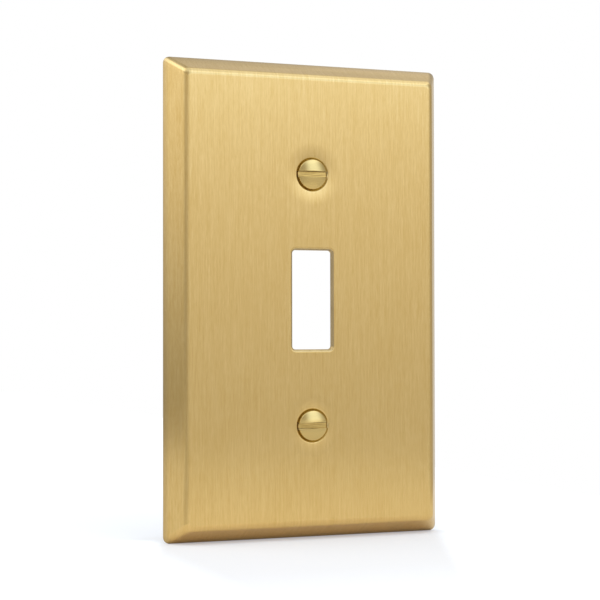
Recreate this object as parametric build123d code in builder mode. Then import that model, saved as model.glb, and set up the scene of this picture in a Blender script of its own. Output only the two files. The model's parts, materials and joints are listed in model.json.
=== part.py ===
"""One-gang toggle switch wall plate, pressed from sheet brass, with its two oval-head screws.

Millimetres, +Z up. The origin is the centre of the plate on the wall plane, the face looks along -Y
and the screws run along +Y into the wall.
"""
from build123d import *
from math import atan2, cos, degrees, radians, sin, tan
import os

# Plate: outline on the wall, height off the wall, sheet and bends
plate_width = 71.0
plate_height = 115.0
plate_depth = 6.5
bevel_inset = 3.8
sheet = 1.2
inside_bend_radius = 0.8
rim_rounding = 0.25

# Toggle slot, with the front edge rolled over by the punch
toggle_slot_width = 10.1
toggle_slot_height = 23.8
toggle_slot_corner = 0.8
toggle_slot_roll = 0.7

# Screw holes: a shallow dish that turns down into a conical seat
screw_spacing = 60.325
dish_radius = 7.6
dish_slope = 4.0
mouth_radius = 4.25
mouth_rounding = 0.3
seat_cone_angle = 82.0
screw_hole_clearance = 0.25

# Oval-head slotted screws, 6-32 by half an inch
thread_radius = 1.7525
neck_radius = 1.5
neck_length = 0.8
screw_length = 12.7
screw_tip_chamfer = 0.5
head_radius = 3.6
head_edge_height = 1.0
head_dome_height = 0.75
head_rim_rounding = 0.25
driver_slot_width = 1.5
driver_slot_depth = 1.35
upper_screw_turn = 0.0
lower_screw_turn = 3.0

# Places that follow from the sizes above, with tilts in radians off the wall's normal or the face
face_y = -plate_depth
upper_screw_height = screw_spacing / 2
lower_screw_height = -screw_spacing / 2
bevel_tilt = atan2(bevel_inset, plate_depth)
rim_width = sheet / cos(bevel_tilt)
rim_point = rim_rounding * (tan(bevel_tilt) + 1 / cos(bevel_tilt) - 1)
sharp_width = plate_width + 2 * rim_point
sharp_height = plate_height + 2 * rim_point
screw_hole_radius = thread_radius + screw_hole_clearance
seat_slope = 90 - seat_cone_angle / 2
dish_tilt = radians(dish_slope)
seat_tilt = radians(seat_slope)
dish_curve = (dish_radius - mouth_radius) / sin(dish_tilt)
dish_depth = dish_curve * (1 - cos(dish_tilt))
mouth_depth = mouth_rounding * (cos(dish_tilt) - cos(seat_tilt))
seat_top_radius = mouth_radius - mouth_rounding * (sin(seat_tilt) - sin(dish_tilt))
seat_top_y = face_y + dish_depth + mouth_depth


def seat_y(radius):
    """Depth of the conical seat at a distance from the screw's axis."""
    return seat_top_y + (seat_top_radius - radius) * tan(seat_tilt)


def bevelled_block(width, height, depth, bend_radius):
    """A block that tapers to the front, with its mitres and front edges bent to one radius."""
    with BuildPart() as block:
        with BuildSketch(Plane.XZ):
            Rectangle(width, height)
        extrude(amount=depth, taper=degrees(bevel_tilt))
        mitres = block.edges().group_by(Axis.Y)[1]
        front_edges = block.faces().sort_by(Axis.Y)[0].edges()
        fillet(mitres + front_edges, bend_radius)
    return block.part


os.makedirs("parts", exist_ok=True)

# Wall plate: a pan of even sheet, its outside and its hollow made by the same form
outside = bevelled_block(sharp_width, sharp_height, plate_depth, inside_bend_radius + sheet)
hollow_width = sharp_width - 2 * rim_width
hollow_height = sharp_height - 2 * rim_width
hollow = bevelled_block(hollow_width, hollow_height, plate_depth - sheet, inside_bend_radius)
with BuildPart() as wall_plate:
    add(outside)
    add(hollow, mode=Mode.SUBTRACT)
    rim_face = wall_plate.faces().filter_by(Axis.Y).sort_by(Axis.Y)[-1]
    fillet(rim_face.outer_wire().edges(), rim_rounding)

    # Toggle slot
    with BuildSketch(Plane.XZ.offset(plate_depth)):
        RectangleRounded(toggle_slot_width, toggle_slot_height, toggle_slot_corner)
    extrude(amount=-sheet, mode=Mode.SUBTRACT)
    front_face = wall_plate.faces().filter_by(Axis.Y).sort_by(Axis.Y)[0]
    fillet(front_face.inner_wires().edges(), toggle_slot_roll)

    # Screw seats: each takes the place of a disc of the flat sheet
    with BuildSketch(Plane.XZ.offset(plate_depth)):
        with GridLocations(0, screw_spacing, 1, 2):
            Circle(dish_radius)
    extrude(amount=-sheet, mode=Mode.SUBTRACT)
    for height in (upper_screw_height, lower_screw_height):
        with BuildSketch(Plane.XY.offset(height)):
            with BuildLine():
                dish = JernArc((dish_radius, face_y), (-1, 0), dish_curve, -dish_slope)
                mouth = JernArc(dish @ 1, dish % 1, mouth_rounding, dish_slope - seat_slope)
                Line(mouth @ 1, (screw_hole_radius, seat_y(screw_hole_radius)))
                offset(amount=sheet, side=Side.RIGHT, kind=Kind.INTERSECTION)
            make_face()
        revolve(axis=Axis((0, 0, height), (0, 1, 0)))

wall_plate.part.label = "wall_plate"
export_step(wall_plate.part, "parts/wall_plate.step")

# Screws: turned to one profile, then slotted across the dome
head_y = seat_y(head_radius)
head_rim_y = head_y - head_edge_height
dome_top_y = head_rim_y - head_dome_height
neck_end_y = seat_y(neck_radius) + neck_length
tip_y = head_y + screw_length
screws = {
    "upper_screw": (upper_screw_height, upper_screw_turn),
    "lower_screw": (lower_screw_height, lower_screw_turn),
}
for name, (height, turn) in screws.items():
    with BuildPart() as screw:
        with BuildSketch(Plane.XY.offset(height)) as profile:
            with BuildLine():
                dome = TangentArc((0, dome_top_y), (head_radius, head_rim_y), tangent=(1, 0))
                Polyline(
                    dome @ 1,
                    (head_radius, head_y),
                    (neck_radius, seat_y(neck_radius)),
                    (neck_radius, neck_end_y),
                    (thread_radius, neck_end_y + thread_radius - neck_radius),
                    (thread_radius, tip_y - screw_tip_chamfer),
                    (thread_radius - screw_tip_chamfer, tip_y),
                    (0, tip_y),
                    dome @ 0,
                )
            make_face()
            head_edge_ends = profile.vertices().group_by(Axis.X)[-1]
            fillet(head_edge_ends.sort_by(Axis.Y)[0], head_rim_rounding)
        revolve(axis=Axis((0, 0, height), (0, 1, 0)))
        with BuildSketch(Plane.XZ.offset(-dome_top_y)):
            with Locations((0, height)):
                Rectangle(2 * head_radius, driver_slot_width, rotation=turn)
        extrude(amount=-driver_slot_depth, mode=Mode.SUBTRACT)

    screw.part.label = name
    export_step(screw.part, f"parts/{name}.step")
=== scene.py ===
# %% [markdown]
# # A brushed brass switch plate
# The object is the cover of a toggle switch: a shallow pan pressed from one sheet of brass, brushed from
# top to bottom and lacquered, with a slot for the toggle and two slotted screws in pressed countersinks.
# The solid model gives the frame: its origin is the middle of the plate on the wall, +Z is up and the
# face looks along -Y. Everything below is in metres, and sizes are written in millimetres times MM.

# %% Load the frame and keep its box
import json
from math import acos, asin, atan2, ceil, cos, degrees, pi, radians, sin, tan

import bmesh
import bpy
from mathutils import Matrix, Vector


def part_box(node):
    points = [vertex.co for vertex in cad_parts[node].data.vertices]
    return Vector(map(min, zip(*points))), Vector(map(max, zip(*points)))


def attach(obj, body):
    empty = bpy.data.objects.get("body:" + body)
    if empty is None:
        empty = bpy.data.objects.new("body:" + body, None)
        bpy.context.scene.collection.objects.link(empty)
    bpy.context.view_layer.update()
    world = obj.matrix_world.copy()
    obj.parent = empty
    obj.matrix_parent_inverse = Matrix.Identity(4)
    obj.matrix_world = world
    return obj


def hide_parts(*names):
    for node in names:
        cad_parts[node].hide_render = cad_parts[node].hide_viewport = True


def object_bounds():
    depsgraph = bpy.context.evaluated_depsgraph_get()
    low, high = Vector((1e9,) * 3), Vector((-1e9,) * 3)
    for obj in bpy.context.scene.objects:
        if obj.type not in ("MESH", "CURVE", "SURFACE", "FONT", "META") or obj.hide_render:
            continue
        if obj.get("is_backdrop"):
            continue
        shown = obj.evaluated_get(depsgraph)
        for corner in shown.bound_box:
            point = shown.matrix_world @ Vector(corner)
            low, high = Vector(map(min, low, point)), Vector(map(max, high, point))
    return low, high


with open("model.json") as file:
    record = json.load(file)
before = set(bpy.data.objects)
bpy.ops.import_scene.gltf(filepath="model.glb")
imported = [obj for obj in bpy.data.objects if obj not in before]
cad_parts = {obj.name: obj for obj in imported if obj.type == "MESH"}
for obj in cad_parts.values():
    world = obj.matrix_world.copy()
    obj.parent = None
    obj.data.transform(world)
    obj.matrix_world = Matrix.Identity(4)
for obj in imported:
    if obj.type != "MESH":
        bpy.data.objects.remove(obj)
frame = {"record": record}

MM = 0.001
cad_low, cad_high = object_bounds()
plate_low, plate_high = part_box("wall_plate")
plate_width, plate_depth, plate_height = plate_high - plate_low
print(f"Plate {plate_width / MM:.1f} wide, {plate_height / MM:.1f} high, {plate_depth / MM:.1f} deep")

# %% [markdown]
# ## Camera
# The photograph was taken from the left and a little below the middle of the plate, with a long lens.
# The place and the lens come from a fit of the plate's corners, the slot and the screws, so they are
# typed in as they are. A wider lens from nearer by could frame the plate as well, but its near edge would
# then stand taller beside the far one than it does in the photograph.

# %% Camera
CAMERA_PLACE = Vector((-144.24, -366.32, -6.54)) * MM
CAMERA_LENS = 96.89
CAMERA_YAW = radians(21.394)
CAMERA_PITCH = radians(0.96)
CAMERA_ROLL = radians(-0.092)

bpy.ops.object.select_all(action="DESELECT")
bpy.ops.object.camera_add(location=CAMERA_PLACE, rotation=(pi / 2 + CAMERA_PITCH, 0, -CAMERA_YAW))
camera = bpy.context.object
camera.rotation_euler.rotate_axis("Z", CAMERA_ROLL)
camera.data.lens = CAMERA_LENS
bpy.context.scene.camera = camera
print("Camera", tuple(round(place / MM) for place in camera.location), "mm, lens", camera.data.lens)

# %% [markdown]
# ## Tools for choosing and editing
# In the window you would click on edges and faces. A script has no hands, so it picks them by where they
# are or where they point. `choose` does that in edit mode. `edit` names a new primitive, applies its place
# and size and opens it, so every piece keeps its origin in the frame. `close_edit` closes it again.

# %% Choosing and editing
TINY = 0.001 * MM


def choose(kind, test):
    """In edit mode, selects the vertices, edges or faces that pass a test and gives their number."""
    bpy.ops.mesh.select_mode(type=kind)
    bpy.ops.mesh.select_all(action="DESELECT")
    shape = bmesh.from_edit_mesh(bpy.context.object.data)
    parts = {"VERT": shape.verts, "EDGE": shape.edges, "FACE": shape.faces}[kind]
    chosen = [part for part in parts if test(part)]
    for part in chosen:
        part.select_set(True)
    bmesh.update_edit_mesh(bpy.context.object.data)
    return len(chosen)


def at_depth(part, depth):
    """True where every corner of an edge or face lies at one depth."""
    return all(abs(corner.co.y - depth) < TINY for corner in part.verts)


def edit(name):
    """Names the new primitive, bakes its place and size into its mesh and opens it in edit mode."""
    piece = bpy.context.object
    piece.name = name
    piece.data.name = name
    bpy.ops.object.transform_apply(location=True, rotation=True, scale=True)
    bpy.ops.object.mode_set(mode="EDIT")
    return piece


def close_edit(piece):
    """Leaves edit mode and says what was made."""
    bpy.ops.object.mode_set(mode="OBJECT")
    print(piece.name, len(piece.data.polygons), "faces")
    return piece


print(f"Points closer than {TINY / MM} mm count as one")

# %% [markdown]
# ## True rounds
# Every bend of the plate and every broken edge is a round. A Bevel modifier or the bevel operator makes
# it, but with the usual profile of 0.5 it is only a circle where two faces meet squarely. `round_edges`
# works out how far a round reaches along both faces, and the profile that makes it true at any angle.

# %% Rounding edges
CREASE = radians(45)


def is_crease(edge, depth):
    """True for an edge at one depth where two faces meet at a clear angle."""
    return at_depth(edge, depth) and len(edge.link_faces) == 2 and edge.calc_face_angle() > CREASE


def round_edges(radius, turn, steps):
    """Bevels the chosen edges to a round of that radius, where the two faces turn by an angle."""
    reach = radius * tan(turn / 2)
    bulge = (1 / cos(turn / 2) - 1) / (2 * tan(turn / 2) * sin(turn / 2))
    bpy.ops.mesh.bevel(offset=reach, segments=steps, profile=(1 - bulge) ** 2, affect="EDGES")


print(f"Edges that turn by more than {degrees(CREASE):.0f} degrees count as creases")

# %% [markdown]
# ## The pan
# The real plate starts as a flat blank that a die presses into a pan. Both sides of the sheet have the
# same form, so one function makes them: a block, its front drawn in to give the bevel, then the four
# mitres and the four front edges rounded. Rounding the mitres first lets the second bevel run round each
# corner as one smooth strip. Solidify could make one side from the other, but it would tilt the rim, which
# has to lie flat on the wall.

# %% Form of the pan
SHEET = 1.2 * MM
BEVEL_INSET = 3.8 * MM
BEND_STEPS = 12

front_y = -plate_depth
bevel_tilt = atan2(BEVEL_INSET, plate_depth)
bend_turn = pi / 2 - bevel_tilt
mitre_turn = acos(sin(bevel_tilt) ** 2)


def along_depth(edge):
    """True for an edge that runs from front to back."""
    return abs(edge.verts[0].co.y - edge.verts[1].co.y) > TINY


def bent_pan(name, width, height, pan_front_y, bend_radius):
    """One side of the sheet, its front removed and its back chosen: a tapered block with rounded edges."""
    depth = -pan_front_y
    drawn_in = 2 * depth * tan(bevel_tilt)
    shrink = ((width - drawn_in) / width, 1, (height - drawn_in) / height)
    bpy.ops.object.select_all(action="DESELECT")
    bpy.ops.mesh.primitive_cube_add(size=1, location=(0, -depth / 2, 0), scale=(width, depth, height))
    pan = edit(name)
    choose("FACE", lambda face: at_depth(face, pan_front_y))
    bpy.ops.transform.resize(value=shrink, center_override=(0, pan_front_y, 0))
    choose("EDGE", along_depth)
    round_edges(bend_radius, mitre_turn, BEND_STEPS)
    choose("EDGE", lambda edge: at_depth(edge, pan_front_y))
    round_edges(bend_radius, bend_turn, BEND_STEPS)
    choose("FACE", lambda face: at_depth(face, pan_front_y))
    bpy.ops.mesh.delete(type="ONLY_FACE")
    choose("FACE", lambda face: at_depth(face, 0))
    return pan


print(f"The bevel leans {degrees(bevel_tilt):.1f} degrees off the wall's normal")

# %% [markdown]
# ## Outside and hollow
# The outside gets the larger radius and the hollow the smaller one. On the outside, the back is inset for
# the rim that stands on the wall, and the edge of the rim gets a small round, because a sheared edge is
# never left sharp. FACET keeps that round, which is made of flat strips, a hair inside the solid's box.

# %% Outside and hollow of the pan
INSIDE_BEND = 0.8 * MM
RIM_ROUNDING = 0.25 * MM
FACET = 0.01 * MM
ROLL_STEPS = 8

sheet_back_y = front_y + SHEET
rim_width = SHEET / cos(bevel_tilt)
rim_point = RIM_ROUNDING * (tan(bevel_tilt) + 1 / cos(bevel_tilt) - 1)
sharp_width = plate_width + 2 * (rim_point - FACET)
sharp_height = plate_height + 2 * (rim_point - FACET)
outside = bent_pan("outside", sharp_width, sharp_height, front_y, INSIDE_BEND + SHEET)
bpy.ops.mesh.inset(thickness=rim_width / 2)
bpy.ops.mesh.delete(type="ONLY_FACE")
choose("EDGE", lambda edge: is_crease(edge, 0))
round_edges(RIM_ROUNDING, pi - bend_turn, ROLL_STEPS)
close_edit(outside)

hollow_width = sharp_width - 2 * rim_width
hollow_height = sharp_height - 2 * rim_width
hollow = bent_pan("hollow", hollow_width, hollow_height, sheet_back_y, INSIDE_BEND)
bpy.ops.mesh.delete(type="ONLY_FACE")
close_edit(hollow)

# %% [markdown]
# ## The toggle slot
# A punch pierces the slot and draws its front edge over into a soft roll. A flat rectangle with rounded
# corners is inset, so a narrow collar of flat face stays round it, and the middle is extruded through
# the sheet to make the walls. The edge between collar and wall is then rounded. The collar is a little
# wider than the roll, so the round ends on flat metal. A Boolean would cut the slot too, but it leaves
# a ragged mesh that takes a round badly.

# %% Sleeve of the toggle slot
SLOT_WIDTH = 10.1 * MM
SLOT_HEIGHT = 23.8 * MM
SLOT_CORNER = 0.8 * MM
SLOT_ROLL = 0.7 * MM
COLLAR_PER_ROLL = 1.2
CORNER_STEPS = 10
FACING_FRONT = (pi / 2, 0, 0)

collar = COLLAR_PER_ROLL * SLOT_ROLL
bpy.ops.object.select_all(action="DESELECT")
bpy.ops.mesh.primitive_plane_add(size=1, location=(0, front_y, 0), rotation=FACING_FRONT)
bpy.context.object.scale = (SLOT_WIDTH + 2 * collar, SLOT_HEIGHT + 2 * collar, 1)
sleeve = edit("sleeve")
bpy.ops.mesh.bevel(offset=SLOT_CORNER + collar, segments=CORNER_STEPS, affect="VERTICES")
bpy.ops.mesh.inset(thickness=collar)
bpy.ops.mesh.extrude_region_move(TRANSFORM_OT_translate={"value": (0, SHEET, 0)})
bpy.ops.mesh.delete(type="ONLY_FACE")
choose("EDGE", lambda edge: is_crease(edge, front_y))
round_edges(SLOT_ROLL, pi / 2, ROLL_STEPS)
close_edit(sleeve)

# %% [markdown]
# ## Drawing a profile
# The screws come off a lathe, and their seats are just as round, so half a section says all about them.
# `draw_line` makes such a profile the way you would draw it: one vertex, extruded from point to point.
# Its round stretches come from `arc`, so that each has only a middle, a radius and two tilts to set.

# %% Drawing a profile
def arc(middle, radius, first_tilt, last_tilt, steps):
    """Points (distance from the axis, depth) on a round whose surface tilts from one angle to another."""
    tilts = [first_tilt + (last_tilt - first_tilt) * step / steps for step in range(steps + 1)]
    return [(middle[0] - radius * sin(tilt), middle[1] - radius * cos(tilt)) for tilt in tilts]


def draw_line(name, profile, height):
    """A new object with a line through profile points beside a screw's axis, left open in edit mode."""
    points = [Vector((distance, depth, height)) for distance, depth in profile]
    bpy.ops.object.select_all(action="DESELECT")
    bpy.ops.mesh.primitive_plane_add(size=MM, location=points[0])
    piece = edit(name)
    bpy.ops.mesh.select_mode(type="VERT")
    bpy.ops.mesh.merge(type="CENTER")
    for start, end in zip(points, points[1:]):
        bpy.ops.mesh.extrude_vertices_move(TRANSFORM_OT_translate={"value": end - start})
    return piece


print("A quarter round has", len(arc((0, 0), SLOT_ROLL, 0, pi / 2, ROLL_STEPS)), "points")

# %% [markdown]
# ## Turning a profile
# `turn_round` spins a profile about the axis of a screw, as a lathe does. A Screw modifier could do it as
# well, but the operator leaves a plain mesh to go on with. Points that come to lie on each other, at the
# seam and on the axis, are merged.

# %% Turning a profile
TURN_STEPS = 96


def merge_points():
    """In edit mode, makes points in the same place one, and leaves everything selected."""
    bpy.ops.mesh.select_all(action="SELECT")
    bpy.ops.mesh.remove_doubles(threshold=TINY)


def turn_round(name, profile, height):
    """Draws a profile, spins it about the screw axis at a height, and closes its seam and poles."""
    piece = draw_line(name, profile, height)
    bpy.ops.mesh.select_all(action="SELECT")
    bpy.ops.mesh.spin(steps=TURN_STEPS, angle=2 * pi, center=(0, 0, height), axis=(0, 1, 0))
    merge_points()
    bpy.ops.mesh.normals_make_consistent(inside=False)
    return close_edit(piece)


print("Turned shapes have", TURN_STEPS, "sides")

# %% [markdown]
# ## The screw seats
# The same press stroke pushes a seat into the sheet for each screw: a wide shallow dish that turns over
# a small lip into an 82 degree cone. The section is drawn along the front, and back again along the
# rear one sheet further in, and spun about the screw's axis. First comes its front.

# %% Front of a screw seat
DISH_RADIUS = 7.6 * MM
DISH_TILT = radians(4)
MOUTH_RADIUS = 4.25 * MM
MOUTH_ROUNDING = 0.3 * MM
SEAT_TILT = radians(49)
HOLE_RADIUS = 2.0 * MM
DISH_STEPS = 10
MOUTH_STEPS = 8

dish_curve = (DISH_RADIUS - MOUTH_RADIUS) / sin(DISH_TILT)
dish_middle = (DISH_RADIUS, front_y + dish_curve)
dish = arc(dish_middle, dish_curve, 0, DISH_TILT, DISH_STEPS)
lip_across = dish[-1][0] + MOUTH_ROUNDING * sin(DISH_TILT)
lip_depth = dish[-1][1] + MOUTH_ROUNDING * cos(DISH_TILT)
lip = arc((lip_across, lip_depth), MOUTH_ROUNDING, DISH_TILT, SEAT_TILT, MOUTH_STEPS)
seat_top_radius, seat_top_y = lip[-1]


def seat_y(radius):
    """Depth of the conical seat at a distance from the screw's axis."""
    return seat_top_y + (seat_top_radius - radius) * tan(SEAT_TILT)


hole_front = (HOLE_RADIUS, seat_y(HOLE_RADIUS))
print(f"The seat goes {(hole_front[1] - front_y) / MM:.2f} mm deep")

# %% [markdown]
# The rear of the cone is one sheet behind its front. It runs until it meets the rear of the dish, and the
# tilt of the dish at that point follows from a triangle. The mount in the record says how far the two
# screws stand apart.

# %% Both screw seats
screw_mount = next(mount for mount in frame["record"]["mounts"] if mount["name"] == "plate_screws")
SCREW_SPACING = screw_mount["dims"]["spacing_y_mm"] * MM

hole_back = (HOLE_RADIUS + SHEET * sin(SEAT_TILT), hole_front[1] + SHEET * cos(SEAT_TILT))
rear_curve = dish_curve - SHEET
rise_across = (dish_middle[0] - hole_back[0]) * sin(SEAT_TILT)
rise_along = (dish_middle[1] - hole_back[1]) * cos(SEAT_TILT)
rear_tilt = SEAT_TILT - acos((rise_across + rise_along) / rear_curve)
rear = arc(dish_middle, rear_curve, rear_tilt, 0, DISH_STEPS)
seat_section = dish + lip[1:] + [hole_front, hole_back] + rear
screw_heights = (SCREW_SPACING / 2, -SCREW_SPACING / 2)
seats = [turn_round(f"seat_{number}", seat_section, height) for number, height in enumerate(screw_heights)]

# %% [markdown]
# ## One sheet
# Now the parts of the sheet become one closed skin. Joined in one mesh, each side of the flat face is an
# outline with holes in it, which is just what the fill operator closes. So is the rest of the rim,
# between the outside and the hollow.

# %% Fill the face and the rim
def is_open(edge, depth):
    """True for an edge at one depth that still lacks a face."""
    return len(edge.link_faces) < 2 and at_depth(edge, depth)


bpy.ops.object.select_all(action="DESELECT")
for part in (hollow, sleeve, *seats, outside):
    part.select_set(True)
bpy.context.view_layer.objects.active = outside
bpy.ops.object.join()
plate = edit("brass_plate")
for depth in (front_y, sheet_back_y, 0):
    choose("EDGE", lambda edge: is_open(edge, depth))
    bpy.ops.mesh.fill(use_beauty=True)
merge_points()
bpy.ops.mesh.normals_make_consistent(inside=False)
open_edges = choose("EDGE", lambda edge: len(edge.link_faces) != 2)
close_edit(plate)
print("Open edges:", open_edges)

# %% [markdown]
# ## Shading
# Flat faces should stay flat beside the bends. Smooth shading by angle keeps the pierced edges crisp,
# and the Weighted Normal modifier lets the large flat faces decide the normals along the bends.

# %% Shading of the plate
CRISP_ANGLE = radians(35)


def pick(piece):
    """Selects one object alone and makes it the active one."""
    bpy.ops.object.select_all(action="DESELECT")
    piece.select_set(True)
    bpy.context.view_layer.objects.active = piece


def shade_smooth(piece):
    """Smooth shading with crisp edges, led by the large faces."""
    pick(piece)
    bpy.ops.object.shade_smooth_by_angle(angle=CRISP_ANGLE)
    step = piece.modifiers.new("Flat faces lead", "WEIGHTED_NORMAL")
    step.keep_sharp = True
    bpy.ops.object.modifier_apply(modifier=step.name)
    print(f"{piece.name} is smooth where it turns by less than {degrees(CRISP_ANGLE):.0f} degrees")


shade_smooth(plate)

# %% [markdown]
# ## The screws
# Oval-head machine screws, turned and slotted. The head and neck are one spun profile: a dome, a short
# straight edge, a cone that sits in the seat and a neck for the thread to start from. A sphere and
# a cylinder could be joined instead, but one profile has the real sizes and needs no joining.

# %% Head of the screw
HEAD_RADIUS = 3.6 * MM
HEAD_EDGE_HEIGHT = 1.0 * MM
DOME_HEIGHT = 0.75 * MM
NECK_RADIUS = 1.5 * MM
NECK_LENGTH = 0.8 * MM
DOME_STEPS = 16

head_y = seat_y(HEAD_RADIUS)
head_rim_y = head_y - HEAD_EDGE_HEIGHT
dome_top_y = head_rim_y - DOME_HEIGHT
neck_y = seat_y(NECK_RADIUS)
neck_end_y = neck_y + NECK_LENGTH
dome_radius = (HEAD_RADIUS ** 2 + DOME_HEIGHT ** 2) / (2 * DOME_HEIGHT)
dome_tilt = -asin(HEAD_RADIUS / dome_radius)
dome = arc((0, dome_top_y + dome_radius), dome_radius, 0, dome_tilt, DOME_STEPS)
neck_section = [(HEAD_RADIUS, head_y), (NECK_RADIUS, neck_y), (NECK_RADIUS, neck_end_y), (0, neck_end_y)]
screw = turn_round("head", dome + neck_section, 0)
print("Dome from", round(dome_top_y / MM, 2), "to", round(head_rim_y / MM, 2), "mm")

# %% [markdown]
# ## Rim and driver slot
# The edge round the dome is broken by a small round. A saw then cuts the driver slot across the finished
# head. A Boolean does the same with a block, and the block is longer than the head, so the cut runs out
# on both sides.

# %% Rim and driver slot
HEAD_RIM_ROUNDING = 0.25 * MM
DRIVER_SLOT_WIDTH = 1.5 * MM
DRIVER_SLOT_DEPTH = 1.35 * MM
SAW_PER_HEAD = 1.5
EDGE_STEPS = 3


def boolean(piece, tool, operation):
    """Cuts, joins or trims a piece with another one, which is used up."""
    pick(piece)
    step = piece.modifiers.new(operation, "BOOLEAN")
    step.object = tool
    step.operation = operation
    step.solver = "EXACT"
    bpy.ops.object.modifier_apply(modifier=step.name)
    bpy.data.objects.remove(tool)


slot_floor_y = dome_top_y + DRIVER_SLOT_DEPTH
bpy.ops.object.mode_set(mode="EDIT")
choose("EDGE", lambda edge: at_depth(edge, head_rim_y))
round_edges(HEAD_RIM_ROUNDING, pi / 2 + dome_tilt, EDGE_STEPS)
close_edit(screw)
saw_size = (2 * SAW_PER_HEAD * HEAD_RADIUS, 2 * DRIVER_SLOT_DEPTH, DRIVER_SLOT_WIDTH)
bpy.ops.object.select_all(action="DESELECT")
bpy.ops.mesh.primitive_cube_add(size=1, location=(0, dome_top_y, 0), scale=saw_size)
saw = close_edit(edit("saw"))
boolean(screw, saw, "DIFFERENCE")
print(f"The slot is {DRIVER_SLOT_DEPTH / MM:.2f} mm deep")

# %% [markdown]
# The saw leaves a burr that is wiped off, so the edges of the slot are slightly round. They are the edges
# where the dome meets a wall of the slot at more than the crisp angle.

# %% Edges of the driver slot
SLOT_EDGE_ROUNDING = 0.15 * MM


def on_slot_edge(edge):
    """True for an edge between the dome and a wall of the driver slot."""
    on_wall = all(abs(abs(corner.co.z) - DRIVER_SLOT_WIDTH / 2) < TINY for corner in edge.verts)
    return on_wall and not at_depth(edge, slot_floor_y) and edge.calc_face_angle(0) > CRISP_ANGLE


bpy.ops.object.mode_set(mode="EDIT")
print("Edges of the slot:", choose("EDGE", on_slot_edge))
bpy.ops.mesh.bevel(offset=SLOT_EDGE_ROUNDING, segments=EDGE_STEPS, affect="EDGES", clamp_overlap=True)
bpy.ops.mesh.select_all(action="SELECT")
bpy.ops.mesh.dissolve_degenerate(threshold=TINY)
close_edit(screw)

# %% [markdown]
# ## Thread
# The screws have a 6-32 thread, with 32 turns to the inch and flanks that lean by 30 degrees. One pitch is
# drawn first: root, flank, crest and flank. It starts two turns early, inside the neck, so that the run-in
# can be cut from full thread.

# %% Profile of the thread
MM_PER_INCH = 25.4
THREADS_PER_INCH = 32
DEPTH_PER_PITCH = 0.6134
CREST_PER_PITCH = 0.125
FLANK_TILT = radians(30)
LEAD_IN_TURNS = 2

PITCH = MM_PER_INCH / THREADS_PER_INCH * MM
thread_depth = DEPTH_PER_PITCH * PITCH
crest = CREST_PER_PITCH * PITCH
thread_radius = screw_mount["dims"]["stud_r_mm"] * MM
_, screw_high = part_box("upper_screw")
tip_y = screw_high.y
root_radius = thread_radius - thread_depth
flank = thread_depth * tan(FLANK_TILT)
root = PITCH - crest - 2 * flank
thread_start_y = neck_end_y - LEAD_IN_TURNS * PITCH
one_pitch = [
    (root_radius, thread_start_y),
    (root_radius, thread_start_y + root),
    (thread_radius, thread_start_y + root + flank),
    (thread_radius, thread_start_y + root + flank + crest),
    (root_radius, thread_start_y + PITCH),
]
thread = close_edit(draw_line("thread", one_pitch, 0))
print(f"Pitch {PITCH / MM:.3f} mm, thread {thread_depth / MM:.3f} mm deep")

# %% [markdown]
# ## Sweep of the thread
# The Screw modifier sweeps the profile round and along the axis, turn after turn. Stacked rings would look
# alike from afar, but they don't climb. The swept thread is too long at both ends, so it is cut there and
# closed with caps.

# %% Sweep of the thread
THREAD_STEPS = 40

sweep = thread.modifiers.new("Thread", "SCREW")
sweep.axis = "Y"
sweep.screw_offset = PITCH
sweep.iterations = ceil((tip_y - thread_start_y) / PITCH) + 1
sweep.steps = THREAD_STEPS
sweep.render_steps = THREAD_STEPS
print("The thread has", sweep.iterations, "turns before it is cut")
bpy.ops.object.modifier_apply(modifier=sweep.name)
bpy.ops.object.mode_set(mode="EDIT")
merge_points()
for cut_y, side in ((neck_end_y - PITCH / 2, "clear_inner"), (tip_y + PITCH / 2, "clear_outer")):
    bpy.ops.mesh.select_all(action="SELECT")
    bpy.ops.mesh.bisect(plane_co=(0, cut_y, 0), plane_no=(0, 1, 0), threshold=TINY / 2, **{side: True})
    choose("EDGE", lambda edge: is_open(edge, cut_y))
    bpy.ops.mesh.edge_face_add()
bpy.ops.mesh.select_all(action="SELECT")
bpy.ops.mesh.normals_make_consistent(inside=False)
close_edit(thread)

# %% [markdown]
# ## Run-in and tip
# A real thread runs in from the neck and ends in a chamfered tip. A turned bar with that outline trims
# the swept thread, because an intersection keeps only what lies in both. The rest is joined to the neck,
# and points that the Booleans left on top of each other are merged.

# %% Trim the thread and join it to the head
TIP_CHAMFER = 0.5 * MM
OVERLAP = 0.05 * MM

bar_radius = thread_radius + OVERLAP
bar_start_y = neck_end_y - OVERLAP
bar_section = [
    (0, bar_start_y),
    (NECK_RADIUS - OVERLAP, bar_start_y),
    (bar_radius, bar_start_y + bar_radius - NECK_RADIUS + OVERLAP),
    (bar_radius, tip_y - TIP_CHAMFER - OVERLAP),
    (thread_radius - TIP_CHAMFER, tip_y),
    (0, tip_y),
]
bar = turn_round("bar", bar_section, 0)
boolean(thread, bar, "INTERSECT")
boolean(screw, thread, "UNION")
bpy.ops.object.mode_set(mode="EDIT")
merge_points()
bpy.ops.mesh.dissolve_degenerate(threshold=TINY)
close_edit(screw)
shade_smooth(screw)

# %% [markdown]
# ## Two screws
# Both screws are the same, so the second is a copy with its own mesh. They were driven home by hand and
# the lower one stopped a few degrees further round, which shows in its slot.

# %% Two screws in their seats
LOWER_TURN = radians(-3)
SCREW_NAMES = ("upper_brass_screw", "lower_brass_screw")
SCREW_TURNS = (0, LOWER_TURN)

bpy.ops.object.duplicate()
screws = (screw, bpy.context.object)
for piece, name, height, angle in zip(screws, SCREW_NAMES, screw_heights, SCREW_TURNS):
    pick(piece)
    piece.location = (0, 0, height)
    piece.rotation_euler = (0, angle, 0)
    close_edit(edit(name))

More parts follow.
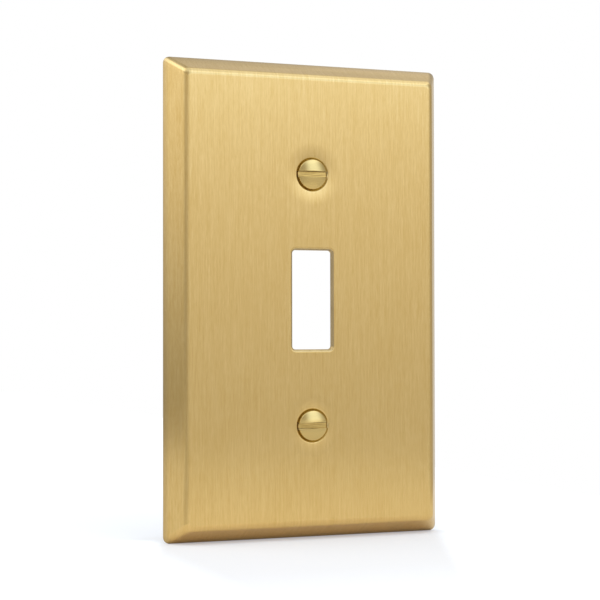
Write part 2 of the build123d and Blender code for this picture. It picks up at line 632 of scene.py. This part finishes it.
# %% [markdown]
# ## Helpers for nodes
# Materials and the light of the studio are node trees. One helper adds a node, sets it and wires it up,
# so each tree below reads from top to bottom like a recipe. `window` is a soft-edged band: it lets through
# what lies between its edges, as an open window does.

# %% Node helpers
def add_node(tree, kind, inputs=None, **settings):
    """Adds a node, sets its options, and links or sets its inputs."""
    made = tree.nodes.new(kind)
    for setting, value in settings.items():
        setattr(made, setting, value)
    for socket, value in (inputs or {}).items():
        if isinstance(value, bpy.types.NodeSocket):
            tree.links.new(value, made.inputs[socket])
        else:
            made.inputs[socket].default_value = value
    return made


def scale_to(tree, value, low, high, new_low, new_high, smooth=False):
    """A Map Range node: low to high becomes new_low to new_high, and stops there."""
    limits = {"From Min": low, "From Max": high, "To Min": new_low, "To Max": new_high}
    kind = "SMOOTHSTEP" if smooth else "LINEAR"
    node = add_node(tree, "ShaderNodeMapRange", {"Value": value, **limits}, interpolation_type=kind)
    return node.outputs["Result"]


def math(tree, operation, first, second=0.0):
    """A Math node."""
    return add_node(tree, "ShaderNodeMath", {0: first, 1: second}, operation=operation).outputs[0]


def window(tree, value, edges):
    """Rises softly from the first edge to the second and falls from the third to the fourth."""
    opening = scale_to(tree, value, edges[0], edges[1], 0, 1, True)
    closing = scale_to(tree, value, edges[2], edges[3], 1, 0, True)
    return math(tree, "MULTIPLY", opening, closing)


print("Node helpers ready")

# %% [markdown]
# ## Studio
# Brass is a mirror that has been brushed, so most of what you see on it is the room. Lamps and white
# cards could make that room, but their edges would show in the metal. Here the world itself is the room:
# its node tree says how much light comes from each direction. A direction is told by its height and by
# its turn about the plate, where zero is straight in front of the face and the right is positive.

# %% Directions in the room
world = bpy.data.worlds.new("studio")
bpy.context.scene.world = world
world.use_nodes = True
room = world.node_tree
room.nodes.clear()
direction = add_node(room, "ShaderNodeTexCoord").outputs["Generated"]
across, ahead, up = add_node(room, "ShaderNodeSeparateXYZ", {"Vector": direction}).outputs
turn = math(room, "ARCTAN2", across, math(room, "MULTIPLY", ahead, -1))
print("The room has", len(room.nodes), "nodes so far")

# %% [markdown]
# ## Two walls
# Lit parts of the walls stand out from the dim room. The front wall, right of the camera, is what the face
# mirrors. The left wall is what the left bevel mirrors. Both get brighter upwards, as the brass does.

# %% Front wall and left wall
FRONT_WALL_TURN = (radians(-44), radians(13), radians(38), radians(70))
FRONT_WALL_RISE = (-0.08, 0.15)
FRONT_WALL_LIGHT = (0.16, 0.63)
FRONT_WALL_TOP = (0.15, 0.3)
LEFT_WALL_TURN = (radians(-150), radians(-118), radians(-84), radians(-44))
LEFT_WALL_RISE = (-0.05, 0.15)
LEFT_WALL_LIGHT = (-0.15, 0.75)
LEFT_WALL_TOP = (0.92, 0.98)


def wall(turns, rise, light, top):
    """A lit part of the wall: brighter from its foot upwards, and fading out at its top."""
    risen = scale_to(room, up, *rise, *light)
    fading = scale_to(room, up, *top, 1, 0, True)
    return math(room, "MULTIPLY", window(room, turn, turns), math(room, "MULTIPLY", risen, fading))


front_wall = wall(FRONT_WALL_TURN, FRONT_WALL_RISE, FRONT_WALL_LIGHT, FRONT_WALL_TOP)
left_wall = wall(LEFT_WALL_TURN, LEFT_WALL_RISE, LEFT_WALL_LIGHT, LEFT_WALL_TOP)
print("With two walls the room has", len(room.nodes), "nodes")

# %% [markdown]
# ## Corner, right wall and ground
# The corner between the two walls is dim at its foot, which draws the dark line along the left bend.
# A faint wall stands behind the plate on the right. Pale ground in front lights the foot of the face: where
# it meets the front wall, the brighter of the two counts.

# %% Corner, right wall and ground
RIGHT_WALL_TURN = (radians(95), radians(130), radians(170), radians(200))
RIGHT_WALL_RISE = (-0.1, 0.15)
RIGHT_WALL_LIGHT = (0.2, 0.25)
RIGHT_WALL_TOP = (0.2, 0.4)
CORNER_TURN = (radians(-80), radians(-58), radians(-32), radians(-10))
CORNER_RISE = (0.0, 0.16)
CORNER_LIGHT = (-0.08, 0.2)
CORNER_TOP = (0.3, 0.5)
GROUND_TURN = (radians(-44), radians(13), radians(84), radians(120))
GROUND_HEIGHT = (-0.13, -0.07)
GROUND_LIGHT = 0.28

right_wall = wall(RIGHT_WALL_TURN, RIGHT_WALL_RISE, RIGHT_WALL_LIGHT, RIGHT_WALL_TOP)
corner = wall(CORNER_TURN, CORNER_RISE, CORNER_LIGHT, CORNER_TOP)
low_light = scale_to(room, up, *GROUND_HEIGHT, GROUND_LIGHT, 0, True)
ground = math(room, "MULTIPLY", low_light, window(room, turn, GROUND_TURN))
lit = math(room, "MAXIMUM", front_wall, ground)
lit = math(room, "ADD", lit, math(room, "ADD", left_wall, right_wall))
lit = math(room, "ADD", lit, corner)
print("With walls and ground the room has", len(room.nodes), "nodes")

# %% [markdown]
# ## Ceiling and lamps
# The ceiling gets brighter to the right, and an even dim light fills the room. Three lamps shine from
# above: a soft box over the front wall, one over the left wall and a top light over the plate and what is
# in front of it.

# %% Ceiling and lamps
ROOM_LIGHT = 0.55
CEILING_ACROSS = (0.13, 0.5)
CEILING_HEIGHT = (0.55, 0.75)
CEILING_LIGHT = 0.49
SOFT_BOX_TURN = (radians(-10), radians(16), radians(33), radians(62))
SOFT_BOX_HEIGHT = (0.1, 0.26, 0.62, 0.85)
SOFT_BOX_LIGHT = 1.75
LEFT_LAMP_HEIGHT = (0.6, 0.75, 0.9, 0.97)
LEFT_LAMP_LIGHT = 0.6
TOP_LIGHT_AHEAD = (0.05, 0.3)
TOP_LIGHT = 0.85


def lamp(turns, heights, light):
    """A soft-edged lamp between two turns and two heights."""
    shape = math(room, "MULTIPLY", window(room, turn, turns), window(room, up, heights))
    return math(room, "MULTIPLY", shape, light)


overhead = scale_to(room, up, *CEILING_HEIGHT, 0, 1, True)
ceiling = math(room, "MULTIPLY", overhead, scale_to(room, across, *CEILING_ACROSS, 0, CEILING_LIGHT))
room_light = math(room, "ADD", math(room, "ADD", lit, ceiling), ROOM_LIGHT)
soft_box = lamp(SOFT_BOX_TURN, SOFT_BOX_HEIGHT, SOFT_BOX_LIGHT)
left_lamp = lamp(LEFT_WALL_TURN, LEFT_LAMP_HEIGHT, LEFT_LAMP_LIGHT)
top_light = math(room, "MULTIPLY", overhead, scale_to(room, ahead, *TOP_LIGHT_AHEAD, TOP_LIGHT, 0, True))
lamp_light = math(room, "ADD", soft_box, math(room, "ADD", left_lamp, top_light))
print("With ceiling and lamps the room has", len(room.nodes), "nodes")

# %% [markdown]
# ## Room and backdrop
# Walls and lamps have their own colours, so each gets a Background node, and the two are added. The lamps
# are bluish, so the highlights on the yellow brass come out pale. The camera sees plain white instead of
# the room, which the Light Path node arranges, and the Standard view transform keeps that white as it is.

# %% Room and backdrop
WHITE = (1, 1, 1, 1)
LAMP_COLOR = (0.55, 0.7, 1, 1)

walls = add_node(room, "ShaderNodeBackground", {"Color": WHITE, "Strength": room_light})
lamps = add_node(room, "ShaderNodeBackground", {"Color": LAMP_COLOR, "Strength": lamp_light})
studio = add_node(room, "ShaderNodeAddShader", {0: walls.outputs[0], 1: lamps.outputs[0]})
backdrop = add_node(room, "ShaderNodeBackground", {"Color": WHITE})
seen = add_node(room, "ShaderNodeLightPath").outputs["Is Camera Ray"]
view = add_node(room, "ShaderNodeMixShader", {0: seen, 1: studio.outputs[0], 2: backdrop.outputs[0]})
add_node(room, "ShaderNodeOutputWorld", {"Surface": view.outputs[0]})
bpy.context.scene.view_settings.view_transform = "Standard"
print("World has", len(room.nodes), "nodes")

# %% [markdown]
# ## Table
# The plate stands on a white table. The lower part of the brass mirrors the table and its front edge, so
# a floor without end would look wrong in the metal. A plain plane of the right size does it.

# %% Table
TABLE_LEFT = -325 * MM
TABLE_RIGHT = 115 * MM
TABLE_FRONT = -210 * MM
TABLE_BACK = 900 * MM

table_middle = ((TABLE_LEFT + TABLE_RIGHT) / 2, (TABLE_FRONT + TABLE_BACK) / 2, plate_low.z)
bpy.ops.object.select_all(action="DESELECT")
bpy.ops.mesh.primitive_plane_add(size=1, location=table_middle)
bpy.context.object.scale = (TABLE_RIGHT - TABLE_LEFT, TABLE_BACK - TABLE_FRONT, 1)
floor = close_edit(edit("floor"))

# %% [markdown]
# ## White of the table
# The metal and the camera see two different whites. In the metal the table is warm, with a shaded patch on
# the left in front of the plate. The camera sees a darker, warmer white, over which the glow of an
# overexposed picture is laid further down.

# %% White of the table
FIRST_COLOR = 6
SECOND_COLOR = 7
MIXED_COLOR = 2
TABLE_WHITE = (0.95, 0.88, 0.76, 1)
TABLE_SHADE = (0.68, 0.63, 0.54, 1)
TABLE_SEEN = (0.735, 0.67, 0.575, 1)
SHADE_ACROSS = (-220 * MM, -150 * MM, -60 * MM, -42 * MM)
SHADE_AHEAD = (-220 * MM, -150 * MM, -25 * MM, -10 * MM)


def new_tree(name):
    """A material with an empty node tree, and its coordinates as a vector and as X, Y and Z."""
    material = bpy.data.materials.new(name)
    material.use_nodes = True
    tree = material.node_tree
    tree.nodes.clear()
    coordinates = add_node(tree, "ShaderNodeTexCoord").outputs["Object"]
    place = add_node(tree, "ShaderNodeSeparateXYZ", {"Vector": coordinates}).outputs
    return material, tree, coordinates, place


def mix_colors(tree, share, first, second):
    """A colour between two, by a share from 0 to 1. The Mix node's colour sockets are picked by number."""
    colors = {"Factor": share, FIRST_COLOR: first, SECOND_COLOR: second}
    return add_node(tree, "ShaderNodeMix", colors, data_type="RGBA").outputs[MIXED_COLOR]


paint, tree, _, place = new_tree("table_white")
seen = add_node(tree, "ShaderNodeLightPath").outputs["Is Camera Ray"]
shade_across = window(tree, place["X"], SHADE_ACROSS)
shade = math(tree, "MULTIPLY", shade_across, window(tree, place["Y"], SHADE_AHEAD))
mirrored = mix_colors(tree, shade, TABLE_WHITE, TABLE_SHADE)
matt = add_node(tree, "ShaderNodeBsdfDiffuse", {"Color": mix_colors(tree, seen, mirrored, TABLE_SEEN)})
print(paint.name, "has", len(tree.nodes), "nodes so far")

# %% [markdown]
# ## Haze and pool of light
# In the photograph the table is so bright that it melts into the background. For the camera a cool haze
# does that: thin close to the plate, where a soft shade is left, thicker further away, and thickest to
# both sides of the plate as the camera sees it. Its blue takes back the yellow that the brass throws on
# the table. In the metal there is a pool of light in front of the plate instead.

# %% Haze and pool of light
HAZE_COLOR = (0.845, 1, 1.21, 1)
NEAR_HAZE = 0.247
FAR_HAZE = 0.39
NEAR_ACROSS = (-46 * MM, -36 * MM, 36 * MM, 46 * MM)
NEAR_AHEAD = (-110 * MM, -45 * MM, 5 * MM, 15 * MM)
SIDE_HAZE = 0.25
SIDE_EDGES = (-37 * MM, -31 * MM, 31 * MM, 37 * MM)
SIDE_AHEAD = (-300 * MM, -200 * MM, 3 * MM, 12 * MM)
POOL_LIGHT = 0.1
POOL_EDGES = (-120 * MM, -40 * MM, -3.5 * MM, 0.5 * MM)


def mix_numbers(tree, share, first, second):
    """A number between two, by a share from 0 to 1."""
    return add_node(tree, "ShaderNodeMix", {"Factor": share, "A": first, "B": second}).outputs["Result"]


# Painted light: the haze is a glow on the table that only the camera sees, and it washes out the shade
# beside and beyond the plate.
near = math(tree, "MULTIPLY", window(tree, place["X"], NEAR_ACROSS), window(tree, place["Y"], NEAR_AHEAD))
haze = scale_to(tree, near, 0, 1, FAR_HAZE, NEAR_HAZE)
across_view = math(tree, "MULTIPLY", place["X"], cos(CAMERA_YAW))
across_view = math(tree, "SUBTRACT", across_view, math(tree, "MULTIPLY", place["Y"], sin(CAMERA_YAW)))
beside = math(tree, "SUBTRACT", 1.0, window(tree, across_view, SIDE_EDGES))
beside = math(tree, "MULTIPLY", beside, window(tree, place["Y"], SIDE_AHEAD))
haze = math(tree, "ADD", haze, math(tree, "MULTIPLY", beside, SIDE_HAZE))
pool = math(tree, "MULTIPLY", window(tree, place["Y"], POOL_EDGES), POOL_LIGHT)
strength = mix_numbers(tree, seen, pool, haze)
glow_color = mix_colors(tree, seen, WHITE, HAZE_COLOR)
glow = add_node(tree, "ShaderNodeEmission", {"Color": glow_color, "Strength": strength})
lit_table = add_node(tree, "ShaderNodeAddShader", {0: matt.outputs[0], 1: glow.outputs[0]})
add_node(tree, "ShaderNodeOutputMaterial", {"Surface": lit_table.outputs[0]})
floor.data.materials.append(paint)
floor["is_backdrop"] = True
print(paint.name, "has", len(tree.nodes), "nodes")

# %% [markdown]
# ## Brushed grain
# Brushing leaves thousands of fine parallel scratches. Seen from a step away they are streaks, narrow
# across the plate and long down its height. Noise stretched along the height gives them. A node group
# does it for any finish, with the width and length of a streak as its inputs.

# %% Grain group
NUMBER = "NodeSocketFloat"
VECTOR = "NodeSocketVector"
NOISE_SCALE = 1.0
NOISE_DETAIL = 2.0
NOISE_ROUGHNESS = 0.6


def new_group(name, inputs, outputs):
    """A node group with the named sockets, and what its input node gives."""
    group = bpy.data.node_groups.new(name, "ShaderNodeTree")
    for way, sockets in (("INPUT", inputs), ("OUTPUT", outputs)):
        for socket, kind in sockets.items():
            group.interface.new_socket(socket, in_out=way, socket_type=kind)
    return group, add_node(group, "NodeGroupInput").outputs


grain_inputs = {"Vector": VECTOR, "Width": NUMBER, "Length": NUMBER}
grain_group, given = new_group("brushed_grain", grain_inputs, {"Grain": NUMBER})
place = add_node(grain_group, "ShaderNodeSeparateXYZ", {"Vector": given["Vector"]}).outputs
stretches = {"X": "Width", "Y": "Length", "Z": "Length"}
shares = {axis: math(grain_group, "DIVIDE", place[axis], given[size]) for axis, size in stretches.items()}
stretched = add_node(grain_group, "ShaderNodeCombineXYZ", shares).outputs[0]
noise = {"Vector": stretched, "Scale": NOISE_SCALE, "Detail": NOISE_DETAIL, "Roughness": NOISE_ROUGHNESS}
streaks = add_node(grain_group, "ShaderNodeTexNoise", noise)
add_node(grain_group, "NodeGroupOutput", {"Grain": streaks.outputs[0]})


def grain(tree, vector, width, length):
    """Places the grain group in a material."""
    inputs = {"Vector": vector, "Width": width, "Length": length}
    return add_node(tree, "ShaderNodeGroup", inputs, node_tree=grain_group).outputs["Grain"]


print("Grain group has", len(grain_group.nodes), "nodes")

# %% [markdown]
# ## Distance from a screw
# The turned marks on a screw head and the tarnish in the groove round it are rings about the screw's
# axis. Both screws stand at the same height above and below the middle, so one group gives the distance
# from the nearer axis: it folds the height about the middle and measures from there.

# %% Screw distance group
distance_outputs = {"Distance": NUMBER, "Height": NUMBER}
distance_group, given = new_group("screw_distance", {"Vector": VECTOR}, distance_outputs)
place = add_node(distance_group, "ShaderNodeSeparateXYZ", {"Vector": given["Vector"]}).outputs
folded = math(distance_group, "ABSOLUTE", place["Z"])
height = math(distance_group, "SUBTRACT", folded, SCREW_SPACING / 2)
flat = add_node(distance_group, "ShaderNodeCombineXYZ", {"X": place["X"], "Z": height})
length = add_node(distance_group, "ShaderNodeVectorMath", {0: flat.outputs[0]}, operation="LENGTH")
add_node(distance_group, "NodeGroupOutput", {"Distance": length.outputs["Value"], "Height": height})


def screw_distance(tree, vector):
    """Places the distance group in a material and gives its two outputs."""
    node = add_node(tree, "ShaderNodeGroup", {"Vector": vector}, node_tree=distance_group)
    return node.outputs["Distance"], node.outputs["Height"]


print("Distance group has", len(distance_group.nodes), "nodes")

# %% [markdown]
# ## Brushed brass
# The face is brass brushed from top to bottom under clear lacquer. Streaks, finer and shorter scratches
# and a slow drift over the whole plate shift its tone a little between a dark and a light brass. An image
# texture could show a real brushed sheet, but noise has no seams and fits any size.

# %% Tone of the brushed brass
BRASS_LIGHT = (0.709, 0.512, 0.215, 1)
BRASS_DARK = (0.601, 0.403, 0.13, 1)
STREAK_WIDTH = 0.34 * MM
STREAK_LENGTH = 10 * MM
SCRATCH_WIDTH = 0.22 * MM
SCRATCH_LENGTH = 2 * MM
DRIFT_SIZE = 12 * MM
GRAIN_SHARE = 0.45
DRIFT_SHARE = 0.1
GRAIN_LOW = 0.3
GRAIN_HIGH = 0.7


def brass(name):
    """A metal material: its tree, its coordinates and its shader."""
    material, tree, coordinates, place = new_tree(name)
    shader = add_node(tree, "ShaderNodeBsdfPrincipled", {"Metallic": 1})
    add_node(tree, "ShaderNodeOutputMaterial", {"Surface": shader.outputs[0]})
    return material, tree, coordinates, place, shader


brushed, tree, coordinates, place, shader = brass("brushed_brass")
streaks = grain(tree, coordinates, STREAK_WIDTH, STREAK_LENGTH)
scratches = grain(tree, coordinates, SCRATCH_WIDTH, SCRATCH_LENGTH)
drift = grain(tree, coordinates, DRIFT_SIZE, DRIFT_SIZE)
tone = math(tree, "MULTIPLY", math(tree, "ADD", streaks, scratches), GRAIN_SHARE)
tone = math(tree, "ADD", tone, math(tree, "MULTIPLY", drift, DRIFT_SHARE))
tone = scale_to(tree, tone, GRAIN_LOW, GRAIN_HIGH, 0, 1)
color = mix_colors(tree, tone, BRASS_DARK, BRASS_LIGHT)
print(brushed.name, "has", len(tree.nodes), "nodes so far")

# %% [markdown]
# ## Groove and rim
# The groove round each screw is tarnished, because no brush reaches it. The bevel is painted darker and
# browner towards the rim, as painted shade that draws a dark line along the outline. Two colours laid over
# the brass by place show both.

# %% Groove and rim of the brushed brass
TARNISH = (0.66, 0.53, 0.245, 1)
GROOVE_BLEND = 0.1 * MM
RIM_PAINTED_SHADE = (0.37, 0.28, 0.15, 1)
RIM_SHADE_DEPTHS = (-1.9 * MM, 0)
RIM_SHADE_SHARE = 0.6

distance, _ = screw_distance(tree, coordinates)
groove_edges = (seat_top_radius - GROOVE_BLEND, seat_top_radius + GROOVE_BLEND)
color = mix_colors(tree, scale_to(tree, distance, *groove_edges, 1, 0, True), color, TARNISH)
# Painted shade: the bevel turns darker and browner towards the rim, a dark line along the outline.
color = mix_colors(tree, scale_to(tree, place["Y"], *RIM_SHADE_DEPTHS, 0, RIM_SHADE_SHARE), color, RIM_PAINTED_SHADE)
print(f"The groove begins {seat_top_radius / MM:.2f} mm from the axis of a screw")

# %% [markdown]
# ## Gloss
# The scratches spread reflections across the plate but hardly along it, which is what the anisotropy of
# the shader stands for. They also give a very fine bump and shift the gloss a little. The lacquer is
# a thin coat.

# %% Gloss of the brushed brass
BUMP_DEPTH = 0.01 * MM
BRUSHED_ROUGHNESS = (0.255, 0.235)
BRUSHED_BUMP = 0.02
ANISOTROPY = 0.75
LACQUER = 0.2
LACQUER_ROUGHNESS = 0.15


def set_finish(tree, shader, color, tone, roughness):
    """Gives the shader its colour, and a roughness that goes from one value to another with the tone."""
    tree.links.new(color, shader.inputs["Base Color"])
    tree.links.new(scale_to(tree, tone, 0, 1, *roughness), shader.inputs["Roughness"])


def set_bump(tree, shader, height, strength):
    """Gives the shader a fine bump."""
    bump = add_node(tree, "ShaderNodeBump", {"Height": height, "Strength": strength, "Distance": BUMP_DEPTH})
    tree.links.new(bump.outputs[0], shader.inputs["Normal"])


set_finish(tree, shader, color, tone, BRUSHED_ROUGHNESS)
set_bump(tree, shader, scratches, BRUSHED_BUMP)
shader.inputs["Anisotropic"].default_value = ANISOTROPY
shader.inputs["Coat Weight"].default_value = LACQUER
shader.inputs["Coat Roughness"].default_value = LACQUER_ROUGHNESS
plate.data.materials.append(brushed)
print(brushed.name, "has", len(tree.nodes), "nodes")

# %% [markdown]
# ## More than one finish
# The plate is one sheet, but not all of it is brushed. A second object for the rest would leave a seam, so
# faces are chosen by where they are and where they look, and get a further material.

# %% Faces for a further finish
def in_slot(face):
    """True for the walls of the slot and its rolled edge."""
    middle = face.calc_center_median()
    return abs(middle.x) < SLOT_WIDTH / 2 + SLOT_ROLL and abs(middle.z) < SLOT_HEIGHT / 2 + SLOT_ROLL


def cover(material, test):
    """Gives a further material to the faces of the plate that pass a test."""
    plate.data.materials.append(material)
    pick(plate)
    plate.active_material_index = plate.data.materials.find(material.name)
    bpy.ops.object.mode_set(mode="EDIT")
    print(material.name, "on", choose("FACE", test), "faces")
    bpy.ops.object.material_slot_assign()
    close_edit(plate)


print("Finishes so far:", len(plate.data.materials))

# %% [markdown]
# ## Mill finish
# The back of the sheet and the pierced walls are never brushed. They keep the duller skin of the rolling
# mill, a little browner, with broad faint roll lines and blotches. Most of the rolled edge round the slot
# gets this darker skin too, as painted shade that dims its glints.

# %% Mill brass on the back and in the slot
MILL_LIGHT = (0.48, 0.365, 0.195, 1)
MILL_DARK = (0.38, 0.29, 0.152, 1)
ROLL_LINE_WIDTH = 0.6 * MM
ROLL_LINE_LENGTH = 45 * MM
BLOTCH_SIZE = 5 * MM
EVEN_SHARE = 0.5
MILL_ROUGHNESS = (0.5, 0.38)
MILL_BUMP = 0.2
FACING_BACK = 0.05
FACING_SIDE = -0.92


def mill_or_shaded_roll(face):
    """True for faces that look to the wall, the pierced walls of the slot and, as painted shade, most of its
    roll.
    """
    return face.normal.y > FACING_BACK or in_slot(face) and face.normal.y > FACING_SIDE


mill, tree, coordinates, _, shader = brass("mill_brass")
lines = grain(tree, coordinates, ROLL_LINE_WIDTH, ROLL_LINE_LENGTH)
blotches = grain(tree, coordinates, BLOTCH_SIZE, BLOTCH_SIZE)
tone = math(tree, "MULTIPLY", math(tree, "ADD", lines, blotches), EVEN_SHARE)
tone = scale_to(tree, tone, GRAIN_LOW, GRAIN_HIGH, 0, 1)
set_finish(tree, shader, mix_colors(tree, tone, MILL_DARK, MILL_LIGHT), tone, MILL_ROUGHNESS)
set_bump(tree, shader, tone, MILL_BUMP)
# The darker mill colour on the rolled edge of the slot is painted shade.
cover(mill, mill_or_shaded_roll)

# %% [markdown]
# ## Painted light under the slot
# The faces in the slot that look up, the rolled edge and the wall under it, get a brass lighter than the
# mill skin, as a painted highlight. It is softer than the brushed face, with no direction in it.

# %% Painted light on the brass under the slot
LIT_SILL_LIGHT = (0.62, 0.45, 0.2, 1)
LIT_SILL_DARK = (0.56, 0.4, 0.17, 1)
SILL_BLOTCH_SIZE = 1.5 * MM
SILL_ROUGHNESS = (0.5, 0.42)
FACING_UP = 0.1


def on_sill(face):
    """True for the rolled edge and the wall under the slot."""
    return in_slot(face) and face.normal.z > FACING_UP


# Painted highlight: a lighter brass on the faces in the slot that look up.
lit_sill, tree, coordinates, _, shader = brass("sill_brass_painted_light")
blotches = grain(tree, coordinates, SILL_BLOTCH_SIZE, SILL_BLOTCH_SIZE)
tone = scale_to(tree, blotches, GRAIN_LOW, GRAIN_HIGH, 0, 1)
set_finish(tree, shader, mix_colors(tree, tone, LIT_SILL_DARK, LIT_SILL_LIGHT), tone, SILL_ROUGHNESS)
cover(lit_sill, on_sill)

# %% [markdown]
# ## Turned brass
# The screws are turned and slotted, not brushed. The lathe leaves fine rings about the axis, and the saw
# leaves rougher lines along the slot. The edge of the head and the thread are dull with tarnish, and the
# lower half of the lower head is painted darker, as painted shade. First come the marks and the colour of
# the dome.

# %% Marks and dome of the screws
TURNED_LIGHT = (0.65, 0.475, 0.18, 1)
TURNED_DARK = (0.57, 0.41, 0.148, 1)
LOWER_HEAD_SHADE = (0.52, 0.385, 0.15, 1)
RING_WIDTH = 0.09 * MM
SAW_LINE_WIDTH = 0.3 * MM
SAW_LINE_LENGTH = 3.5 * MM
LOWER_SHADE_START = 0.5 * MM
LOWER_SHADE_FULL = 1 * MM
EDGE_START = 0.07 * MM
EDGE_FULL = 0.01 * MM
TARNISH_SHARE = 0.8

turned, tree, coordinates, place, shader = brass("turned_brass")
distance, height = screw_distance(tree, coordinates)
along_slot = add_node(tree, "ShaderNodeCombineXYZ", {"X": height, "Y": place["Y"], "Z": place["X"]})
saw_lines = grain(tree, along_slot.outputs[0], SAW_LINE_WIDTH, SAW_LINE_LENGTH)
from_axis = add_node(tree, "ShaderNodeCombineXYZ", {"X": distance})
rings = grain(tree, from_axis.outputs[0], RING_WIDTH, BLOTCH_SIZE)
off_middle = math(tree, "ABSOLUTE", height)
sawn = scale_to(tree, off_middle, DRIVER_SLOT_WIDTH / 2 - TINY, DRIVER_SLOT_WIDTH / 2, 1, 0)
sawn = math(tree, "MULTIPLY", sawn, scale_to(tree, place["Y"], slot_floor_y - OVERLAP, slot_floor_y, 0, 1))
marks = mix_numbers(tree, sawn, rings, saw_lines)
tone = scale_to(tree, marks, GRAIN_LOW, GRAIN_HIGH, 0, 1)
color = mix_colors(tree, tone, TURNED_DARK, TURNED_LIGHT)
# Painted shade: the lower half of the lower head is darker.
lower_shade_edges = (screw_heights[1] - LOWER_SHADE_FULL, screw_heights[1] - LOWER_SHADE_START)
color = mix_colors(tree, scale_to(tree, place["Z"], *lower_shade_edges, 1, 0, True), color, LOWER_HEAD_SHADE)
edge = scale_to(tree, distance, HEAD_RADIUS - EDGE_START, HEAD_RADIUS - EDGE_FULL, 0, 1, True)
behind = scale_to(tree, place["Y"], head_rim_y, head_y, 0, 1, True)
tarnished = math(tree, "MULTIPLY", math(tree, "MAXIMUM", edge, behind), TARNISH_SHARE)
color = mix_colors(tree, tarnished, color, TARNISH)
print(turned.name, "has", len(tree.nodes), "nodes so far")

# %% [markdown]
# ## Floor of the driver slot
# Where the floor of the slot meets its walls, it is painted darker, as painted shade in the corners. The
# saw lines make its edge wander a little, because a ruled line would look drawn. The painted shade lies on
# the sawn colour, and both show on the floor of the slot only.

# %% Floor of the driver slot
SAWN_LIGHT = (0.72, 0.51, 0.18, 1)
SAWN_DARK = (0.4, 0.27, 0.08, 1)
SLOT_CORNER_SHADE = (0.3, 0.21, 0.07, 1)
CORNER_SHADE_EDGES = (0.45 * MM, 0.72 * MM)
CORNER_SHADE_WANDER = 0.5 * MM
NOISE_MIDDLE = 0.5
TURNED_ROUGHNESS = (0.26, 0.18)
TURNED_BUMP = 0.15

wander = math(tree, "MULTIPLY", math(tree, "SUBTRACT", saw_lines, NOISE_MIDDLE), CORNER_SHADE_WANDER)
# Painted shade: the seam is a darker band on the floor of the slot along both walls.
seam = scale_to(tree, math(tree, "ADD", off_middle, wander), *CORNER_SHADE_EDGES, 0, 1, True)
floor_color = mix_colors(tree, seam, mix_colors(tree, tone, SAWN_DARK, SAWN_LIGHT), SLOT_CORNER_SHADE)
color = mix_colors(tree, sawn, color, floor_color)
set_finish(tree, shader, color, tone, TURNED_ROUGHNESS)
set_bump(tree, shader, marks, TURNED_BUMP)
for piece in screws:
    piece.data.materials.append(turned)
print(turned.name, "has", len(tree.nodes), "nodes")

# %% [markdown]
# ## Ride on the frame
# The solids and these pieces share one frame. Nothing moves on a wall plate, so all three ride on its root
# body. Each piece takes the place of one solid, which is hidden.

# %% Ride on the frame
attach(plate, "root")
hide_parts("wall_plate")
for piece, node in zip(screws, ("upper_screw", "lower_screw")):
    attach(piece, "root")
    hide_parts(node)
print("Pieces:", plate.name, *(piece.name for piece in screws))

# %% [markdown]
# ## Compare the boxes
# A finished surface should not stand out past the solid that it covers. So the box of the solids, taken at
# the start, is held against the box of what is there now, and the farthest overshoot is printed.

# %% Compare the boxes
low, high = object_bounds()
past = max(*(cad_low - low), *(high - cad_high))
print(f"Farthest past the box of the solids: {past / MM:.4f} mm")
